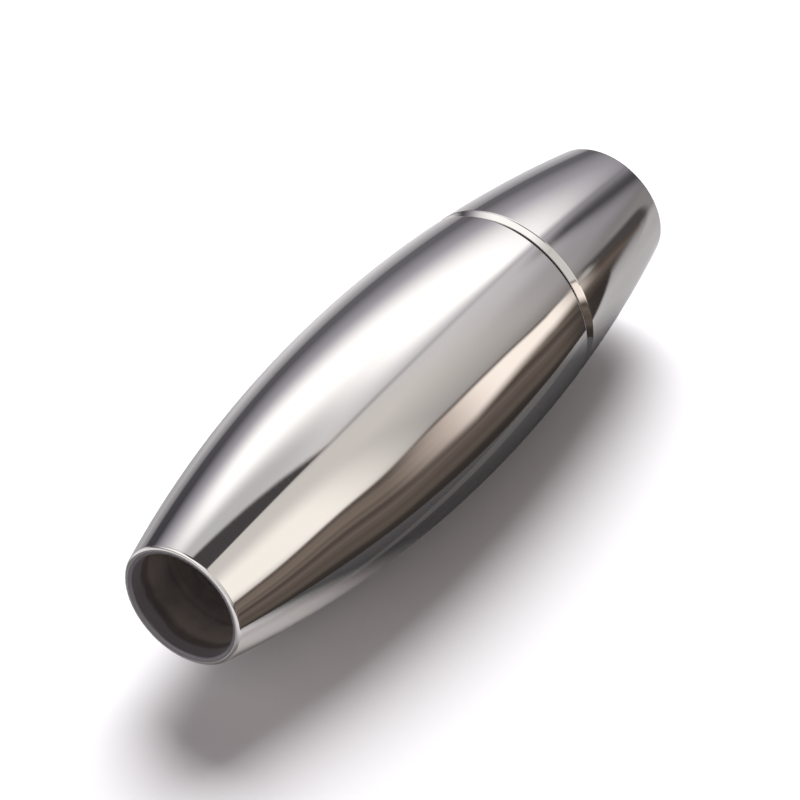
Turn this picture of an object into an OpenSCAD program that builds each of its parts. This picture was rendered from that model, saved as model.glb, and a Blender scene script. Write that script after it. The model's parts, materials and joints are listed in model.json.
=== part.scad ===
// Magnetic clasp with glue-in ends: a barrel turned in two halves that meet at a seam near one end.
// It lies on its side along X, with the long half at -X, and touches the ground at the origin.

/* [Barrel] */
// Length from mouth to mouth
length = 25.5; // [22:0.5:40]
// Diameter halfway along, where the barrel is widest
width = 8; // [7.5:0.1:12]
// Outer diameter at each mouth
mouth_d = 4.7; // [4.5:0.1:6.5]
// Bevel on both edges of a mouth's rim
rim_bevel = 0.06; // [0.02:0.01:0.1]

/* [Seam] */
// Length of the short half, from its mouth to the seam
short_length = 6.4; // [6:0.1:9]
// Gap between the two halves' faces at the seam
seam_gap = 0.06; // [0.02:0.01:0.2]
// Bevel on each half's outer edge at the seam
seam_bevel = 0.2; // [0.02:0.01:0.3]

/* [Cord bores] */
// Diameter of each bore, for a 4 mm cord and its glue
bore_d = 4.1; // [3:0.1:4.2]
// Depth of the bore in the long half
long_bore_depth = 12; // [6:0.5:14]
// Depth of the bore in the short half
short_bore_depth = 4; // [2:0.1:4.5]

/* [Magnets] */
// Diameter of each disc magnet
magnet_d = 4.6; // [3:0.1:5]
// Thickness of each disc magnet
magnet_t = 1.8; // [1:0.1:2]
// Bevel on the edges of each disc magnet
magnet_bevel = 0.15; // [0.05:0.05:0.3]
// Room for glue round and behind each disc magnet
glue_room = 0.03; // [0.01:0.01:0.06]

/* [Spigot and recess] */
// How far the short half's spigot reaches into the long half
spigot_length = 1; // [0.5:0.1:1.5]
// Wall of the spigot round its magnet
spigot_wall = 0.45; // [0.3:0.05:0.6]
// Play between the spigot and the recess, all round
spigot_play = 0.05; // [0.02:0.01:0.1]
// Air between the spigot's end and the bottom of the recess
spigot_end_gap = 0.1; // [0.05:0.05:0.3]
// How far each magnet's face lies below the metal round it
magnet_inset = 0.05; // [0.02:0.01:0.2]

/* [Hidden] */

// Steps round the axis, and along the barrel's side arc
round_steps = 192;
arc_steps = 720;

// In a profile, x is the distance from the axis and y the place along it, from the middle
end_y = length / 2;
seam_y = end_y - short_length;
mouth_r = mouth_d / 2;
bore_r = bore_d / 2;

// The side is one arc, from one mouth's edge over the widest place to the other's
side_drop = (width - mouth_d) / 2;
side_r = (end_y * end_y + side_drop * side_drop) / (2 * side_drop);
side_centre = width / 2 - side_r;
long_face_y = seam_y - seam_gap / 2;
short_face_y = seam_y + seam_gap / 2;

// The spigot stands on the short half's face, and the recess in the long half takes it
spigot_end_y = short_face_y - spigot_length;
recess_bottom_y = spigot_end_y - spigot_end_gap;
magnet_r = magnet_d / 2;
pocket_r = magnet_r + glue_room;
spigot_r = pocket_r + spigot_wall;
recess_r = spigot_r + spigot_play;

// Each magnet's outer face, and the bottom of the pocket behind it
long_magnet_y = recess_bottom_y - magnet_inset;
short_magnet_y = spigot_end_y + magnet_inset;
pocket_depth = magnet_inset + magnet_t + glue_room;

function side_at(y) = side_centre + sqrt(side_r * side_r - y * y);

// Turns a profile into a solid that lies on its side along X
module turned() {
    translate([0, 0, width / 2]) rotate([0, 90, 0]) rotate_extrude($fn = round_steps) children();
}

// The part of a profile from the axis out to r, between two places along it
module band(r, from_y, to_y) {
    translate([0, from_y]) square([r, to_y - from_y]);
}

// What a bevel takes off an edge
module edge_cut(r, y, bevel) {
    translate([r, y]) rotate(45) square(bevel * sqrt(2), center = true);
}

module barrel_profile() {
    intersection() {
        translate([side_centre, 0]) circle(r = side_r, $fn = arc_steps);
        band(width, -end_y, end_y);
    }
}

// A bore from a mouth inwards, with the bevels of its rim; side is -1 or 1
module mouth_cuts(side, depth) {
    scale([1, side]) {
        band(bore_r, end_y - depth, end_y + 1);
        edge_cut(bore_r, end_y, rim_bevel);
        edge_cut(mouth_r, end_y, rim_bevel);
    }
}

module long_half() {
    color("silver") turned() difference() {
        barrel_profile();
        band(width, long_face_y, end_y + 1);
        edge_cut(side_at(long_face_y), long_face_y, seam_bevel);
        band(recess_r, recess_bottom_y, end_y);
        band(pocket_r, recess_bottom_y - pocket_depth, end_y);
        mouth_cuts(-1, long_bore_depth);
    }
}

module short_half() {
    color("silver") turned() difference() {
        union() {
            difference() {
                barrel_profile();
                band(width, -end_y - 1, short_face_y);
                edge_cut(side_at(short_face_y), short_face_y, seam_bevel);
            }
            band(spigot_r, spigot_end_y, seam_y + seam_gap);
        }
        edge_cut(spigot_r, spigot_end_y, seam_bevel);
        band(pocket_r, spigot_end_y - 1, spigot_end_y + pocket_depth);
        mouth_cuts(1, short_bore_depth);
    }
}

// A disc magnet between two places along the axis
module magnet(from_y, to_y) {
    color("lightgray") turned() difference() {
        band(magnet_r, from_y, to_y);
        edge_cut(magnet_r, from_y, magnet_bevel);
        edge_cut(magnet_r, to_y, magnet_bevel);
    }
}

module long_magnet() {
    magnet(long_magnet_y - magnet_t, long_magnet_y);
}

module short_magnet() {
    magnet(short_magnet_y, short_magnet_y + magnet_t);
}

long_half();
short_half();
long_magnet();
short_magnet();
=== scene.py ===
"""Looks of a barrel-shaped magnetic clasp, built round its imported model.

The clasp lies along X. Every piece is turned: its profile is a list of stops in (x, radius), spun about the
clasp's axis with exact normals, because a mirror finish shows every facet. The studio is a world of soft
lights and dark gaps that the polished steel mirrors.
"""
import json
import math
from collections import namedtuple
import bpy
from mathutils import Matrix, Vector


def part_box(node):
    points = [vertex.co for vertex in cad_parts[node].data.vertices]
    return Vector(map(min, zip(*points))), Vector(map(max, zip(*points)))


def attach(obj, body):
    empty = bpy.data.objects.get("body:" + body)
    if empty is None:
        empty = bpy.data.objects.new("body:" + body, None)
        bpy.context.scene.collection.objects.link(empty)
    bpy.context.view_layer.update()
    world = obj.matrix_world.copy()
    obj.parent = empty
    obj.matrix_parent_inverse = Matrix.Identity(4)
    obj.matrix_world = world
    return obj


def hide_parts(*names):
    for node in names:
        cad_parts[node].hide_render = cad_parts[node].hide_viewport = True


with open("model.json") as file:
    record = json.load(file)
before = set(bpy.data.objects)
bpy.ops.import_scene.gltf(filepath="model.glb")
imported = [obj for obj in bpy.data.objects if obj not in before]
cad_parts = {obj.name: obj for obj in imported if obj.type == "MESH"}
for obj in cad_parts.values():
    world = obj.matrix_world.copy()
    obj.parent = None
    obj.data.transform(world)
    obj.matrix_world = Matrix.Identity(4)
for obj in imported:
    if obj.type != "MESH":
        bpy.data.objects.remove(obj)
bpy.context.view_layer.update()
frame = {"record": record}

from types import SimpleNamespace

import bpy
from mathutils import Quaternion, Vector

MM = 0.001

# Places and sizes read from the frame
LONG_LOW, LONG_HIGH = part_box("long_half")
SHORT_LOW, SHORT_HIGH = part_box("short_half")
MOUNTS = {mount["name"]: mount["dims"] for mount in frame["record"]["mounts"]}
HALF_LENGTH = SHORT_HIGH.x
WIDEST_R = (LONG_HIGH.z - LONG_LOW.z) / 2
AXIS_Z = (LONG_HIGH.z + LONG_LOW.z) / 2
LONG_FACE_X = LONG_HIGH.x
SPIGOT_END_X = SHORT_LOW.x
BORE_R = MOUNTS["long_bore"]["r_mm"] * MM
LONG_BORE_DEPTH = MOUNTS["long_bore"]["length_mm"] * MM
SHORT_BORE_DEPTH = MOUNTS["short_bore"]["length_mm"] * MM

# Sizes that the frame doesn't give
MOUTH_R = 2.35 * MM
SEAM_GAP = 0.06 * MM
SEAM_BEVEL = 0.2 * MM
GLUE_ROOM = 0.03 * MM
SPIGOT_WALL = 0.45 * MM
SPIGOT_PLAY = 0.05 * MM
SPIGOT_END_GAP = 0.1 * MM

# Roundings of the turned edges
RIM_ROUND = 0.15 * MM
HOLE_ROUND = 0.13 * MM
SEAM_ROUND = 0.07 * MM
EDGE_ROUND = 0.03 * MM
SPIGOT_ROUND = 0.1 * MM
BORE_BOTTOM_ROUND = 0.2 * MM
MAGNET_ROUND = 0.2 * MM

# How finely a profile is spun and its corners are rounded, and how far apart the points of its side lie
ROUND_STEPS = 256
CORNER_STEPS = 6
SIDE_STEP = 0.25 * MM

# A stop nearer to the axis than this lies on it
ON_AXIS = 0.000001 * MM

# The barrel's side is one arc through both mouths and the widest place
SIDE_DROP = WIDEST_R - MOUTH_R
SIDE_R = (HALF_LENGTH ** 2 + SIDE_DROP ** 2) / (2 * SIDE_DROP)
SHORT_FACE_X = LONG_FACE_X + SEAM_GAP

# The rim's polish begins just outside the rounding of its hole
POLISH_FROM_R = BORE_R + 1.2 * HOLE_ROUND

# Heights of the steel's fine relief
POLISHING_WAVE = 0.0022 * MM
POLISHING_LINE = 0.00012 * MM
DRILL_RING = 0.02 * MM
LATHE_GROOVE = 0.0012 * MM
PLATING_GROOVE = 0.0003 * MM

# The polishing lines change much faster along the clasp than round it
POLISHING_STRETCH = (30000.0, 900.0, 900.0)

# The camera looks from the photograph's angle, in degrees: azimuth 0 looks along +Y, and -90 along +X
CAMERA_AZIMUTH = -53.9
CAMERA_ELEVATION = 39.6
CAMERA_ROLL = 2.25
CAMERA_DISTANCE = 259 * MM
CAMERA_LENS = 341
CAMERA_SENSOR = 36
CAMERA_CLIP = (10 * MM, 20000 * MM)

# The studio's far side lies nearly the way the camera looks: this is its heading, counted from +X
STUDIO_AWAY = math.radians(32.6)

# The lamp that casts the shadow stands on the far side, this many degrees up
KEY_RISE = 45.5
KEY_DISTANCE = 500 * MM
KEY_SIZE = 410 * MM
KEY_WATTS = 4.44

# The floor's material works in millimetres: the sheet's size, where it starts to fade towards its edge, and
# how far from the clasp it is fully lit
SHEET_RADIUS = 200
SHEET_FADE = 120
SHEET_REACH = 18.5

# The striped card on the right
FLAG_LENGTH = 38 * MM
FLAG_HEIGHT = 7.8 * MM
FLAG_MIDDLE_X = 2 * MM
FLAG_Y = -7.2 * MM

# Colours of the studio's walls: of the dark line at the floor, low down above it, and high up
DARK_LINE_RIGHT = (0.15, 0.135, 0.125)
DARK_LINE_BEHIND = (0.165, 0.16, 0.178)
DARK_LINE_LEFT = (0.07, 0.068, 0.078)
LOW_WALL_COOL = (0.50, 0.487, 0.545)
LOW_WALL_WARM = (0.51, 0.485, 0.475)
HIGH_WALL_COOL = (0.785, 0.77, 0.805)
HIGH_WALL_WARM = (0.81, 0.77, 0.745)

# Colours of the softbox, the gaps beside it, and the ceiling in front of it
SOFTBOX_LIGHT = (1.62, 1.61, 1.62)
SOFTBOX_TOP = (0.67, 0.67, 0.68)
GAP_DARK = (0.04, 0.038, 0.04)
CEILING_DARK = (0.078, 0.072, 0.076)

# The share of the studio's light that reaches the sheet, and what the camera sees behind it
FILL_LIGHT = (0.375, 0.342, 0.347)
BACKDROP = (1, 1, 1)

# A soft area of the studio shows where all its ramps are in. A ramp is a measure of studio_measures, in
# degrees, with where the area starts to show and where it shows fully
Area = namedtuple("Area", "colour ramps")

WALL_AREAS = (
    # The far left is light again at the floor
    Area((0.98, 0.96, 0.98),
         [("turn", 44, 60), ("rise", 15, -1)]),
    # Where the floor has faded out, it is dark below
    Area((0.03, 0.028, 0.03),
         [("rise", -18, -30)]),
    # Past the card's right end the wall is lighter at the floor, with a dark wedge under a slanted edge
    Area((0.39, 0.372, 0.378),
         [("turn", -68, -60), ("turn", -40, -52), ("rise", 12, 4), ("rise", -25, -12)]),
    Area((0.092, 0.085, 0.087),
         [("turn", -68, -66), ("turn", -57, -58.4), ("over_slant", 3, -2.5)]),
    # A light patch on the right goes on from the card's stripe
    Area((0.56, 0.52, 0.50),
         [("turn", -65.5, -67.5), ("turn", -84, -76), ("rise", 6, 3.5), ("rise", -1, 1)]),
)

LIGHT_AREAS = (
    # A strip light on the right
    Area((1.29, 1.24, 1.17),
         [("turn", -86, -103), ("turn", -132, -118), ("rise", -4, 16), ("rise", 57, 35)]),
    # The wall behind the camera, and a large white one from there to the left
    Area((0.82, 0.80, 0.79),
         [("back", 60, 25), ("back", -40, -25), ("rise", -5, 2), ("rise", 68, 52)]),
    Area((1.4, 1.39, 1.38),
         [("back", 112, 84), ("back", 2, 34), ("rise", 12, 31), ("rise", 68, 52)]),
)


# Turned meshes


def side_radius(x):
    """The barrel's radius at a place along its axis."""
    return WIDEST_R - SIDE_R + math.sqrt(SIDE_R ** 2 - x ** 2)


def side_stops(from_x, to_x):
    """Stops along the barrel's side, without its two ends."""
    count = round(abs(to_x - from_x) / SIDE_STEP)
    places = [from_x + (to_x - from_x) * i / count for i in range(1, count)]
    return [(x, side_radius(x), 0, "polished") for x in places]


def corner_arc(before, corner, after, radius):
    """Points and normals of the arc that rounds a corner."""
    to_before, to_after = (before - corner).normalized(), (after - corner).normalized()
    half = to_before.angle(to_after) / 2
    centre = corner + (to_before + to_after).normalized() * radius / math.sin(half)
    start = (corner + to_before * radius / math.tan(half) - centre).normalized()
    end = (corner + to_after * radius / math.tan(half) - centre).normalized()
    normals = [start.slerp(end, i / CORNER_STEPS) for i in range(CORNER_STEPS + 1)]
    return [(centre + normal * radius, normal) for normal in normals]


def rounded_profile(stops):
    """Turns stops of (x, radius, rounding, finish) into (point, normal, finish) along the outline.

    A stop with a rounding is a corner. One without lies on a smooth curve or on the axis. The finish is
    that of the stretch up to the next stop."""
    places = [Vector((x, r)) for x, r, _, _ in stops]
    outline = []
    for i, (_, _, rounding, finish) in enumerate(stops):
        before, after = places[max(i - 1, 0)], places[min(i + 1, len(places) - 1)]
        if rounding:
            concave = (places[i] - before).cross(after - places[i]) > 0
            for point, normal in corner_arc(before, places[i], after, rounding):
                outline.append((point, -normal if concave else normal, finish))
        else:
            along = (after - before).normalized()
            outline.append((places[i], Vector((-along.y, along.x)), finish))
    return outline


def spin(outline):
    """The vertices, their normals, the faces and the faces' finishes of an outline spun about the axis."""
    # The metal lies to the right of an outline that encloses a negative area. Any other is turned over
    area = sum(here[0].cross(there[0]) for here, there in zip(outline, outline[1:]))
    outward = -1 if area > 0 else 1
    vertices, normals, rings = [], [], []
    for point, normal, _ in outline:
        steps = ROUND_STEPS if point.y > ON_AXIS else 1
        rings.append(range(len(vertices), len(vertices) + steps))
        for k in range(steps):
            angle = 2 * math.pi * k / ROUND_STEPS
            cosine, sine = math.cos(angle), math.sin(angle)
            vertices.append((point.x, point.y * cosine, AXIS_Z + point.y * sine))
            normals.append((outward * normal.x, outward * normal.y * cosine, outward * normal.y * sine))
    faces, finishes = [], []
    for (_, _, finish), here, there in zip(outline, rings, rings[1:]):
        for k in range(ROUND_STEPS):
            corners = (here[k % len(here)], here[(k + 1) % len(here)],
                       there[(k + 1) % len(there)], there[k % len(there)])
            # A face that ends on the axis has the same corner twice there, and keeps it once
            faces.append(tuple(dict.fromkeys(corners[::outward])))
            finishes.append(finish)
    return vertices, normals, faces, finishes


def new_object(name, data):
    """An object with this data, in the scene."""
    made = bpy.data.objects.new(name, data)
    bpy.context.scene.collection.objects.link(made)
    return made


def turned_piece(name, stops, materials, body, node):
    """Spins a profile about the clasp's axis, and hands the piece to its body.

    Each finish in the stops is the name of one of the materials."""
    vertices, normals, faces, finishes = spin(rounded_profile(stops))
    mesh = bpy.data.meshes.new(name)
    mesh.from_pydata(vertices, [], faces)
    for material in materials.values():
        mesh.materials.append(material)
    order = list(materials)
    mesh.polygons.foreach_set("material_index", [order.index(finish) for finish in finishes])
    mesh.polygons.foreach_set("use_smooth", [True] * len(faces))
    mesh.validate()
    mesh.normals_split_custom_set_from_vertices(normals)
    piece = new_object(name, mesh)
    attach(piece, body)
    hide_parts(node)


# Pieces


def magnet_radius(magnet):
    low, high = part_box(magnet)
    return (high.z - low.z) / 2


def pocket_radius(magnet):
    """Radius of the pocket that a magnet is glued into."""
    return magnet_radius(magnet) + GLUE_ROOM


def spigot_radius():
    """Outer radius of the spigot, which stands round the short magnet's pocket."""
    return pocket_radius("short_magnet") + SPIGOT_WALL


def barrel_stops(mouth_x, bore_depth, face_x):
    """The stops that both shells share, from the bore's bottom round the rim and the side to the seam."""
    inward = math.copysign(1, face_x - mouth_x)
    bore_end = mouth_x + inward * bore_depth
    bevel_x = face_x - inward * SEAM_BEVEL
    return [
        (bore_end, 0, 0, "bore"),
        (bore_end, BORE_R, BORE_BOTTOM_ROUND, "bore"),
        (mouth_x, BORE_R, HOLE_ROUND, "bore"),
        (mouth_x, POLISH_FROM_R, 0, "polished"),
        (mouth_x, MOUTH_R, RIM_ROUND, "polished"),
        *side_stops(mouth_x, bevel_x),
        (bevel_x, side_radius(bevel_x), SEAM_ROUND, "polished"),
        (face_x, side_radius(face_x) - SEAM_BEVEL, SEAM_ROUND, "face"),
    ]


def long_shell(materials):
    """The long half, with the recess for the spigot and its magnet's pocket behind the seam."""
    recess_r = spigot_radius() + SPIGOT_PLAY
    recess_x = SPIGOT_END_X - SPIGOT_END_GAP
    pocket_r = pocket_radius("long_magnet")
    pocket_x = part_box("long_magnet")[0].x - GLUE_ROOM
    stops = [
        *barrel_stops(-HALF_LENGTH, LONG_BORE_DEPTH, LONG_FACE_X),
        (LONG_FACE_X, recess_r, EDGE_ROUND, "face"),
        (recess_x, recess_r, EDGE_ROUND, "face"),
        (recess_x, pocket_r, EDGE_ROUND, "face"),
        (pocket_x, pocket_r, EDGE_ROUND, "face"),
        (pocket_x, 0, 0, "face"),
    ]
    turned_piece("long_shell", stops, materials, "long_end", "long_half")


def short_shell(materials):
    """The short half, with the spigot and its magnet's pocket."""
    pocket_r = pocket_radius("short_magnet")
    pocket_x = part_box("short_magnet")[1].x + GLUE_ROOM
    stops = [
        *barrel_stops(HALF_LENGTH, SHORT_BORE_DEPTH, SHORT_FACE_X),
        (SHORT_FACE_X, spigot_radius(), EDGE_ROUND, "face"),
        (SPIGOT_END_X, spigot_radius(), SPIGOT_ROUND, "face"),
        (SPIGOT_END_X, pocket_r, EDGE_ROUND, "face"),
        (pocket_x, pocket_r, EDGE_ROUND, "face"),
        (pocket_x, 0, 0, "face"),
    ]
    turned_piece("short_shell", stops, materials, "short_end", "short_half")


def magnet_disc(name, node, body, material):
    """A disc magnet with rounded edges."""
    low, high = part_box(node)
    stops = [
        (low.x, 0, 0, "nickel"),
        (low.x, magnet_radius(node), MAGNET_ROUND, "nickel"),
        (high.x, magnet_radius(node), MAGNET_ROUND, "nickel"),
        (high.x, 0, 0, "nickel"),
    ]
    turned_piece(name, stops, {"nickel": material}, body, node)


# Node trees


class Graph:
    """Short words for building a node tree. A value is a number or another node's socket."""

    def __init__(self, tree):
        self.tree = tree
        tree.nodes.clear()

    def node(self, kind, inputs=(), **settings):
        """A node with these settings, and with values in its inputs, by name or by number.

        A colour is three numbers."""
        made = self.tree.nodes.new(kind)
        for key, value in settings.items():
            setattr(made, key, value)
        for key, value in dict(inputs).items():
            if isinstance(value, bpy.types.NodeSocket):
                self.tree.links.new(value, made.inputs[key])
            elif made.inputs[key].type == "RGBA":
                made.inputs[key].default_value = (*value, 1)
            else:
                made.inputs[key].default_value = value
        return made

    def place(self, kind="Object"):
        """Where a point lies, by default in its object's own space."""
        return self.node("ShaderNodeTexCoord").outputs[kind]

    def split(self, vector):
        return self.node("ShaderNodeSeparateXYZ", {0: vector}).outputs

    def math(self, operation, *values):
        return self.node("ShaderNodeMath", dict(enumerate(values)), operation=operation).outputs[0]

    def vector(self, operation, *values):
        return self.node("ShaderNodeVectorMath", dict(enumerate(values)), operation=operation).outputs[0]

    def product(self, first, *others):
        for other in others:
            first = self.math("MULTIPLY", first, other)
        return first

    def linear(self, value, start, end, low=0.0, high=1.0):
        """A straight ramp that goes from low to high as the value goes from start to end."""
        return self.node("ShaderNodeMapRange", {0: value, 1: start, 2: end, 3: low, 4: high}).outputs[0]

    def smooth(self, value, start, end, low=0.0, high=1.0):
        """The same with soft ends. Start and end are plain numbers, and the start may be the higher one."""
        if start > end:
            start, end, low, high = end, start, high, low
        made = self.node("ShaderNodeMapRange", {0: value, 1: start, 2: end, 3: low, 4: high},
                         interpolation_type="SMOOTHSTEP")
        return made.outputs[0]

    def where(self, *ramps):
        """A soft share that is 1 where all the ramps are in. A ramp is a value, its start and its end."""
        return self.product(*[self.smooth(*ramp) for ramp in ramps])

    def between(self, share, first, second):
        """Goes from the first number to the second as the share goes from 0 to 1."""
        return self.linear(share, 0.0, 1.0, first, second)

    def mix(self, share, first, second, blend_type="MIX"):
        """Goes from the first colour to the second as the share goes from 0 to 1."""
        made = self.node("ShaderNodeMix", {0: share, 6: first, 7: second}, data_type="RGBA",
                         blend_type=blend_type)
        return made.outputs[2]

    def noise(self, place, scale, detail, roughness=0.5):
        """Noise from 0 to 1 that changes with the place."""
        return self.node("ShaderNodeTexNoise", {"Vector": place, "Scale": scale, "Detail": detail,
                                                "Roughness": roughness}).outputs["Fac"]

    def noise_along(self, value, scale, detail, roughness=0.5):
        """Noise that changes with one number only."""
        made = self.node("ShaderNodeTexNoise", {"W": value, "Scale": scale, "Detail": detail,
                                                "Roughness": roughness}, noise_dimensions="1D")
        return made.outputs["Fac"]

    def bump(self, height, distance, strength=1.0, over=None):
        """A normal roughened by a height. It lies over another such normal where one is given."""
        inputs = {"Height": height, "Strength": strength, "Distance": distance}
        if over is not None:
            inputs["Normal"] = over
        return self.node("ShaderNodeBump", inputs).outputs[0]

    def metal(self, colour, metallic, roughness, normal):
        """Ends the tree in bare metal."""
        self.surface(self.node("ShaderNodeBsdfPrincipled", {
            "Base Color": colour, "Metallic": metallic, "Roughness": roughness, "Normal": normal}))

    def surface(self, shader, cover=None):
        """Ends the tree in this shader, which is clear where its cover is 0."""
        result = shader.outputs[0]
        if cover is not None:
            clear = self.node("ShaderNodeBsdfTransparent").outputs[0]
            result = self.node("ShaderNodeMixShader", {0: cover, 1: clear, 2: result}).outputs[0]
        self.node("ShaderNodeOutputMaterial", {"Surface": result})


def new_material(name):
    """An empty material and the graph of its nodes."""
    material = bpy.data.materials.new(name)
    material.use_nodes = True
    return material, Graph(material.node_tree)


# Materials


def axis_places(graph):
    """How far along the clasp's axis, and how far from it, a place on a piece lies."""
    x, y, z = graph.split(graph.vector("SUBTRACT", graph.place(), (0, 0, AXIS_Z)))
    squares = [graph.product(side, side) for side in (y, z)]
    return x, graph.math("SQRT", graph.math("ADD", *squares))


def polished_steel():
    """Mirror polish, very slightly wavy, with fine polishing lines round the barrel."""
    material, graph = new_material("polished_steel")
    wave = graph.noise(graph.place(), scale=420.0, detail=2.0)
    stretched = graph.vector("MULTIPLY", graph.place(), POLISHING_STRETCH)
    lines = graph.noise(stretched, scale=1.0, detail=3.0)
    waves = graph.bump(wave, POLISHING_WAVE)
    graph.metal((0.70, 0.68, 0.66), metallic=1.0, roughness=graph.smooth(lines, 0.35, 0.75, 0.03, 0.085),
                normal=graph.bump(lines, POLISHING_LINE, strength=0.5, over=waves))
    return material


def bore_steel():
    """The drilled bore: dull, dark, and marked with rings by the drill."""
    material, graph = new_material("drilled_bore")
    along, radius = axis_places(graph)
    rings = graph.noise_along(along, scale=4200.0, detail=4.0, roughness=0.7)
    circles = graph.noise_along(radius, scale=4200.0, detail=4.0, roughness=0.7)
    marks = graph.product(graph.math("ADD", rings, circles), 0.5)
    stain = graph.noise(graph.place(), scale=620.0, detail=4.0, roughness=0.6)
    shade = graph.mix(graph.smooth(stain, 0.32, 0.68), (0.26, 0.225, 0.225), (0.45, 0.385, 0.35))
    shade = graph.mix(graph.product(graph.smooth(marks, 0.42, 0.62), 0.5), shade, (0.50, 0.46, 0.43))

    # The last stretch before the mouth is cleaner, and ends in a dark, uneven ring
    depth = graph.math("SUBTRACT", HALF_LENGTH, graph.math("ABSOLUTE", along))
    uneven = graph.math("ADD", depth, graph.linear(stain, 0.0, 1.0, -0.3 * MM, 0.3 * MM))
    shade = graph.mix(graph.smooth(uneven, 0.9 * MM, 0.4 * MM), shade, (0.36, 0.33, 0.36))
    ring = graph.where((uneven, 0.5 * MM, 0.7 * MM), (uneven, 1.15 * MM, 0.8 * MM))
    shade = graph.mix(graph.product(ring, 0.7), shade, (0.12, 0.10, 0.10))

    # Its rounded edge at the rim is painted darker, as painted shade that dims what the edge mirrors
    shade = graph.mix(graph.smooth(depth, 0.16 * MM, 0.08 * MM), shade, (0.19, 0.175, 0.19))
    graph.metal(shade, metallic=0.55, roughness=0.42, normal=graph.bump(marks, DRILL_RING))
    return material


def turned_metal(name, colour, roughness, groove):
    """Metal with fine grooves round the axis. Its roughness varies in patches between two values."""
    material, graph = new_material(name)
    along, radius = axis_places(graph)
    turned = graph.node("ShaderNodeCombineXYZ", {0: along, 1: radius}).outputs[0]
    grooves = graph.noise(turned, scale=14000.0, detail=3.0)
    patches = graph.noise(graph.place(), scale=900.0, detail=4.0)
    darker = [channel * 0.75 for channel in colour]
    shade = graph.mix(patches, darker, colour)
    graph.metal(shade, metallic=1.0, roughness=graph.smooth(patches, 0.3, 0.7, *roughness),
                normal=graph.bump(grooves, groove))
    return material


def mirrored_share(graph, x, y, distance):
    """The share of the sheet's light that the mirrors see, by the place on the sheet in millimetres."""
    # It is all there near the long half's mouth, and nearly gone in front of the belly
    belly = graph.smooth(graph.math("MULTIPLY_ADD", y, -1.65, x), -1.5, 3.5)
    share = graph.between(belly, 1.0, 0.07)
    # Past the short half it falls off with the distance
    share = graph.between(graph.smooth(x, 9, 14), share, graph.smooth(distance, 48, 22, 0.0, 0.42))
    # It is even behind the clasp, and low past the long half's mouth there
    share = graph.between(graph.smooth(y, -0.5, -2.5), 0.553, share)
    return graph.between(graph.where((x, -12.7, -13.7), (y, -0.5, 2)), share, 0.2)


def white_sheet():
    """The pale floor. It fades out away from the clasp, where the studio's light ends."""
    material, graph = new_material("white_sheet")
    place = graph.vector("DIVIDE", graph.place(), (MM, MM, MM))
    x, y, _ = graph.split(place)
    distance = graph.node("ShaderNodeVectorMath", {0: place}, operation="LENGTH").outputs["Value"]
    lit = graph.math("MINIMUM", graph.math("DIVIDE", SHEET_REACH, distance), 1.0)
    lit = graph.product(lit, graph.smooth(distance, SHEET_RADIUS, SHEET_FADE))

    # Its far left is less lit
    leftness = graph.math("DIVIDE", graph.math("SUBTRACT", graph.product(y, 0.7), x), distance)
    far_left = graph.product(graph.linear(leftness, 0.0, 0.73, 0.0, 0.44), graph.linear(y, 4, 9))
    mirrored = graph.node("ShaderNodeLightPath").outputs["Is Glossy Ray"]
    seen = graph.between(mirrored, 1.0, mirrored_share(graph, x, y, distance))
    lit = graph.product(lit, graph.math("SUBTRACT", 1.0, far_left), seen)

    # A painted glow beside the long half, seen only by the mirrors: a painted highlight along the long
    # half's lower edge
    streak = graph.where((x, -3.5, -10), (x, -13.5, -12), (y, -5.2, -3.8), (y, -1.2, -3.2))
    white = graph.node("ShaderNodeBsdfPrincipled", {
        "Base Color": (0.875, 0.875, 0.895), "Roughness": 0.7, "Specular IOR Level": 0.1,
        "Emission Color": (1.0, 0.97, 0.97), "Emission Strength": graph.product(mirrored, streak, 0.35)})
    graph.surface(white, cover=lit)
    return material


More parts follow.
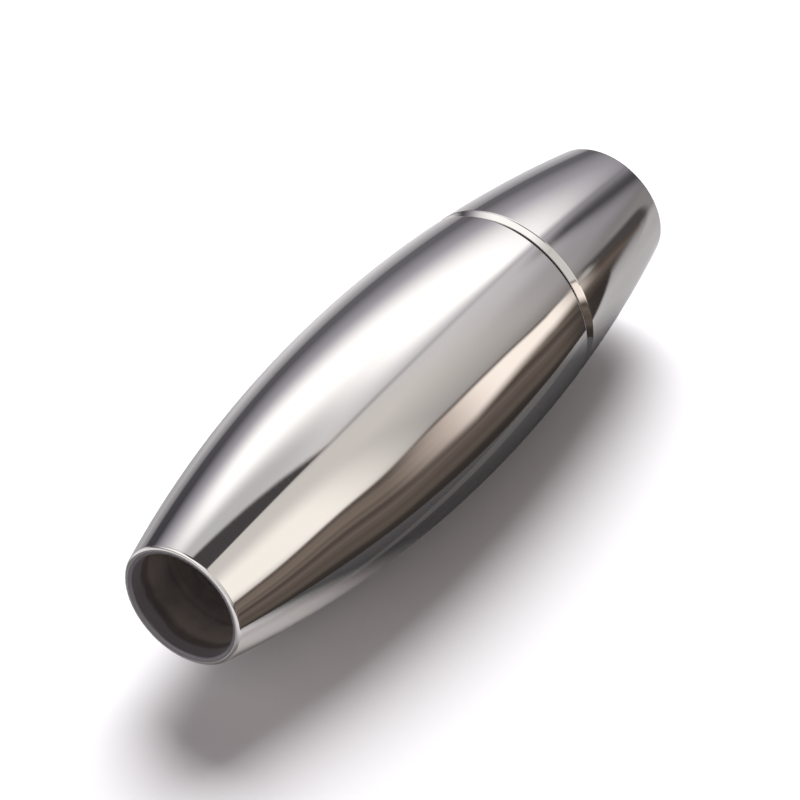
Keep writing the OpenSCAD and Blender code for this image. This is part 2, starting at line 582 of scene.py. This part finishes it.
def striped_brown():
    """Glowing dark brown with a light stripe: painted light, a painted reflection that only the mirrors
    see. Across and level are shares of the card's length and height.
    """
    material, graph = new_material("flag")
    across, up, _ = graph.split(graph.place("Generated"))

    # The card is lower at both ends, and its edge and stripes waver a little
    off_middle = graph.math("SUBTRACT", across, 0.46)
    bow = graph.product(off_middle, off_middle, 1.6)
    waver = graph.linear(graph.noise_along(across, scale=4.0, detail=1.0), 0.0, 1.0, -0.1, 0.1)
    level = graph.math("ADD", graph.math("ADD", up, bow), waver)

    # It is streaky, and darkest at its foot and its right end
    streaks = graph.noise_along(level, scale=6.0, detail=1.5)
    shade = graph.mix(graph.smooth(streaks, 0.3, 0.7), (0.10, 0.078, 0.068), (0.27, 0.22, 0.185))
    shade = graph.mix(graph.smooth(level, 0.5, 0.1), shade, (0.045, 0.037, 0.034))
    shade = graph.mix(graph.where((across, 0.66, 0.80), (level, 0.98, 0.55)), shade, (0.05, 0.042, 0.04))

    # The stripe reaches lower at its left end, and runs up to the card's top at its right end
    lowered = graph.math("ADD", graph.linear(across, 0.50, 0.66, 0.12, 0.0),
                         graph.linear(across, 0.68, 0.77, 0.0, -0.09))
    over_stripe_foot = graph.math("ADD", level, lowered)
    under_stripe_top = graph.math("SUBTRACT", level, graph.linear(across, 0.68, 0.77, 0.0, 0.07))
    stripe = graph.where((over_stripe_foot, 0.65, 0.80), (under_stripe_top, 0.95, 0.89),
                         (across, 0.34, 0.54), (across, 0.84, 0.68))
    stripe_light = graph.mix(graph.smooth(across, 0.44, 0.58), (1.0, 0.86, 0.78), (1.38, 1.26, 1.17))
    shade = graph.mix(stripe, shade, stripe_light)

    # The card's top edge dips at the left, and its foot rises at the right
    under_top = graph.math("ADD", level, graph.linear(across, 0.45, 0.28, 0.0, 0.06))
    foot = graph.math("ADD", graph.linear(across, 0.76, 0.85, -0.15, 0.60),
                      graph.linear(across, 0.85, 0.96, 0.0, 0.24))
    over_foot = graph.math("SUBTRACT", level, foot)
    cover = graph.where((across, 0.0, 0.08), (across, 1.0, 0.97), (under_top, 0.98, 0.92),
                        (over_foot, -0.11, 0.11))
    graph.surface(graph.node("ShaderNodeEmission", {"Color": shade}), cover=cover)
    return material


# Studio


def studio_floor():
    bpy.ops.mesh.primitive_circle_add(vertices=128, radius=SHEET_RADIUS * MM, fill_type="NGON")
    floor = bpy.context.object
    floor.name = "floor"
    floor.data.materials.append(white_sheet())


def striped_flag():
    """A low card on the right that only the mirrors see."""
    bpy.ops.mesh.primitive_plane_add(size=1)
    card = bpy.context.object
    card.name = "flag"
    card.dimensions = (FLAG_LENGTH, FLAG_HEIGHT, 0)
    card.location = (FLAG_MIDDLE_X, FLAG_Y, FLAG_HEIGHT / 2)
    card.rotation_euler = (math.pi / 2, 0, 0)
    card.visible_camera = card.visible_shadow = card.visible_diffuse = False
    card.data.materials.append(striped_brown())


def key_light():
    """A soft lamp high up behind, for the shadow. The mirrors see the world's light there instead."""
    rise = math.radians(KEY_RISE)
    toward = Vector((math.cos(STUDIO_AWAY) * math.cos(rise), math.sin(STUDIO_AWAY) * math.cos(rise),
                     math.sin(rise)))
    data = bpy.data.lights.new("key", "AREA")
    data.shape = "DISK"
    data.size = KEY_SIZE
    data.energy = KEY_WATTS
    lamp = new_object("key", data)
    lamp.location = toward * KEY_DISTANCE
    lamp.rotation_euler = toward.to_track_quat("Z", "Y").to_euler()
    lamp.visible_glossy = False
    lamp.visible_camera = False


def studio_measures(graph):
    """How a direction lies in the studio.

    In degrees, turn goes left from the far side, back goes left from the near side, and rise goes up.
    Ahead and aside are places on the ceiling, in its own heights over the clasp."""
    direction = graph.place("Generated")
    faced = graph.node("ShaderNodeVectorRotate", {"Vector": direction, "Angle": -STUDIO_AWAY},
                       rotation_type="Z_AXIS").outputs[0]
    away, left, up = graph.split(faced)
    at = SimpleNamespace(up=up)
    at.turn = graph.math("DEGREES", graph.math("ARCTAN2", left, away))
    at.back = graph.math("DEGREES", graph.math("ARCTAN2", left, graph.product(away, -1.0)))
    at.rise = graph.math("DEGREES", graph.math("ARCSINE", up))
    height = graph.math("MAXIMUM", up, 0.02)
    at.ahead = graph.math("DIVIDE", away, height)
    at.aside = graph.math("DIVIDE", left, height)

    # The softbox and the ceiling end at a straight edge on the right, and the right wall starts there
    at.past_edge = graph.math("ADD", at.aside, graph.math("MULTIPLY_ADD", at.ahead, 0.446, 0.448))
    at.inside = graph.smooth(at.past_edge, -0.02, 0.02)

    # The dark line at the floor stands higher at the left, and the dark wedge's edge is slanted
    at.lifted = graph.math("SUBTRACT", at.rise, graph.smooth(at.turn, 24, 38, 0.0, 7.0))
    at.over_slant = graph.math("ADD", at.rise, graph.math("MULTIPLY_ADD", at.turn, 0.8, 46.4))

    # The dark corner between the softbox and the right wall leans
    at.off_corner = graph.math("SUBTRACT", at.turn, graph.math("MULTIPLY_ADD", at.rise, -0.17, -40.5))
    return at


def lay_areas(graph, at, light, areas):
    """Lays soft areas over the light, one after the other."""
    for area in areas:
        ramps = [(getattr(at, measure), start, end) for measure, start, end in area.ramps]
        light = graph.mix(graph.where(*ramps), light, area.colour)
    return light


def grey_walls(graph, at):
    """The walls get lighter upwards, from the dark line at the floor, and warmer to the right."""
    dark = graph.mix(graph.smooth(at.turn, -60, -20), DARK_LINE_RIGHT, DARK_LINE_BEHIND)
    dark = graph.mix(graph.smooth(at.turn, 14, 38), dark, DARK_LINE_LEFT)
    warmth = graph.smooth(at.turn, -46, -80)
    low_wall = graph.mix(warmth, LOW_WALL_COOL, LOW_WALL_WARM)
    high_wall = graph.mix(warmth, HIGH_WALL_COOL, HIGH_WALL_WARM)
    wall_rise = graph.math("SUBTRACT", at.lifted, graph.product(at.inside, 7.0))
    light = graph.mix(graph.linear(wall_rise, -1, 16), dark, low_wall)
    return graph.mix(graph.linear(wall_rise, 16, 45), light, high_wall)


def softbox(graph, at, light):
    """The softbox behind has a soft lower edge and soft ends, and is less bright towards its top."""
    box = graph.mix(graph.smooth(at.rise, 50, 71), SOFTBOX_LIGHT, SOFTBOX_TOP)
    from_frame = graph.math("DIVIDE", graph.math("SUBTRACT", at.past_edge, 0.02),
                            graph.linear(at.rise, 40, 60, 0.18, 0.46))
    return graph.mix(graph.where((from_frame, 0, 1), (at.lifted, 20, 44), (at.turn, 47, 23)), light, box)


def dark_gaps(graph, at, light):
    """The dark corner beside the softbox, the softbox's frame, and the open ceiling in front of it."""
    # The corner is a bell with a steeper right side, in a weaker shade that reaches further
    spread = graph.product(graph.linear(at.rise, 20, 32, 11.0, 6.5),
                           graph.linear(at.off_corner, -1, 0, 0.6, 1.0))
    from_corner = graph.math("DIVIDE", at.off_corner, spread)
    bell = graph.math("EXPONENT", graph.product(from_corner, from_corner, -1.0))
    light = graph.mix(graph.product(bell, graph.smooth(at.rise, 38, 29), 0.87), light, GAP_DARK)
    shade = graph.where((at.off_corner, 38, 6), (at.off_corner, -30, -14), (at.rise, 36, 24))
    light = graph.mix(graph.product(shade, 0.23), light, GAP_DARK)

    frame_line = graph.where((at.past_edge, -0.07, 0), (at.past_edge, 0.07, 0), (at.rise, 66, 58))
    strength = graph.linear(at.rise, 38, 58, 0.05, 0.4)
    light = graph.mix(graph.product(frame_line, strength), light, GAP_DARK)

    ceiling = graph.where((at.ahead, 0.225, 0.165), (at.ahead, -0.46, -0.36), (at.aside, 0.5, 0.4))
    overhead = graph.math("GREATER_THAN", at.up, 0.1)
    return graph.mix(graph.product(at.inside, ceiling, overhead), light, CEILING_DARK)


def studio_world():
    """What the steel mirrors: a softbox, grey walls, an open ceiling and a dark line at the floor."""
    world = bpy.data.worlds.new("studio")
    world.use_nodes = True
    bpy.context.scene.world = world
    graph = Graph(world.node_tree)
    at = studio_measures(graph)
    light = lay_areas(graph, at, grey_walls(graph, at), WALL_AREAS)
    light = lay_areas(graph, at, softbox(graph, at, light), LIGHT_AREAS)
    light = dark_gaps(graph, at, light)

    # The sheet gets a share of this light, and the camera itself sees a plain white background
    ray = graph.node("ShaderNodeLightPath").outputs
    light = graph.mix(ray["Is Diffuse Ray"], light, FILL_LIGHT, blend_type="MULTIPLY")
    light = graph.mix(ray["Is Camera Ray"], light, BACKDROP)
    background = graph.node("ShaderNodeBackground", {"Color": light})
    graph.node("ShaderNodeOutputWorld", {"Surface": background.outputs[0]})


def photo_camera():
    azimuth, elevation = math.radians(CAMERA_AZIMUTH), math.radians(CAMERA_ELEVATION)
    back = Vector((math.sin(azimuth) * math.cos(elevation), -math.cos(azimuth) * math.cos(elevation),
                   math.sin(elevation)))
    data = bpy.data.cameras.new("camera")
    data.lens = CAMERA_LENS
    data.sensor_width = CAMERA_SENSOR
    data.clip_start, data.clip_end = CAMERA_CLIP
    camera = new_object("camera", data)
    camera.location = Vector((0, 0, AXIS_Z)) + back * CAMERA_DISTANCE
    roll = Quaternion((0, 0, 1), math.radians(-CAMERA_ROLL))
    camera.rotation_euler = ((-back).to_track_quat("-Z", "Y") @ roll).to_euler()
    bpy.context.scene.camera = camera


def picture_settings():
    settings = bpy.context.scene.view_settings
    settings.view_transform = "Standard"
    settings.look = "None"


def build():
    photo_camera()
    picture_settings()
    studio_world()
    studio_floor()
    striped_flag()
    key_light()
    shell_materials = {
        "polished": polished_steel(),
        "face": turned_metal("turned_face", (0.62, 0.60, 0.58), (0.16, 0.3), LATHE_GROOVE),
        "bore": bore_steel(),
    }
    nickel = turned_metal("nickel_plate", (0.66, 0.64, 0.60), (0.1, 0.2), PLATING_GROOVE)
    long_shell(shell_materials)
    short_shell(shell_materials)
    magnet_disc("long_disc", "long_magnet", "long_end", nickel)
    magnet_disc("short_disc", "short_magnet", "short_core", nickel)


build()
